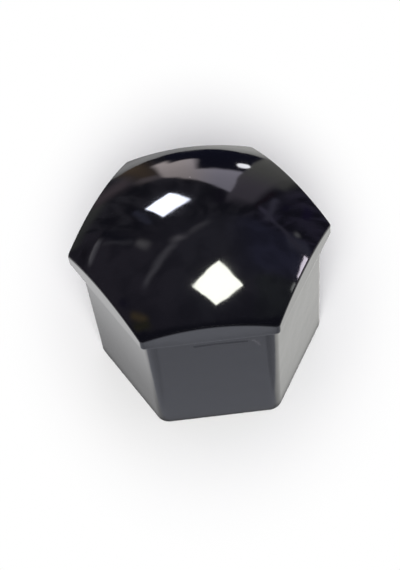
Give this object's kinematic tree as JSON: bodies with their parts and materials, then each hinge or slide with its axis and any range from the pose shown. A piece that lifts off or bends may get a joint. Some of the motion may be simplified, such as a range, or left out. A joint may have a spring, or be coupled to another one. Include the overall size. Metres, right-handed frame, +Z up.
{
  "type": "wheel nut cover cap",
  "caption": "Push-on cover cap for a hexagonal wheel nut: a hollow hexagonal skirt under a domed, slightly overhanging hexagonal head, moulded in one piece of gloss black plastic.",
  "frame": {"origin": "centre of the open mouth, on the plane of the rim that the cap stands on", "axes": "+Z up the cap's axis from the mouth to the dome; +X through one of the head's corners; the flats face -Y, +Y and every 60 degrees from there"},
  "size_m": [0.0276, 0.024, 0.0222],
  "materials": {
    "black_plastic": "gloss"
  },
  "bodies": {
    "root": {"cap": "black_plastic"}
  },
  "joints": []
}
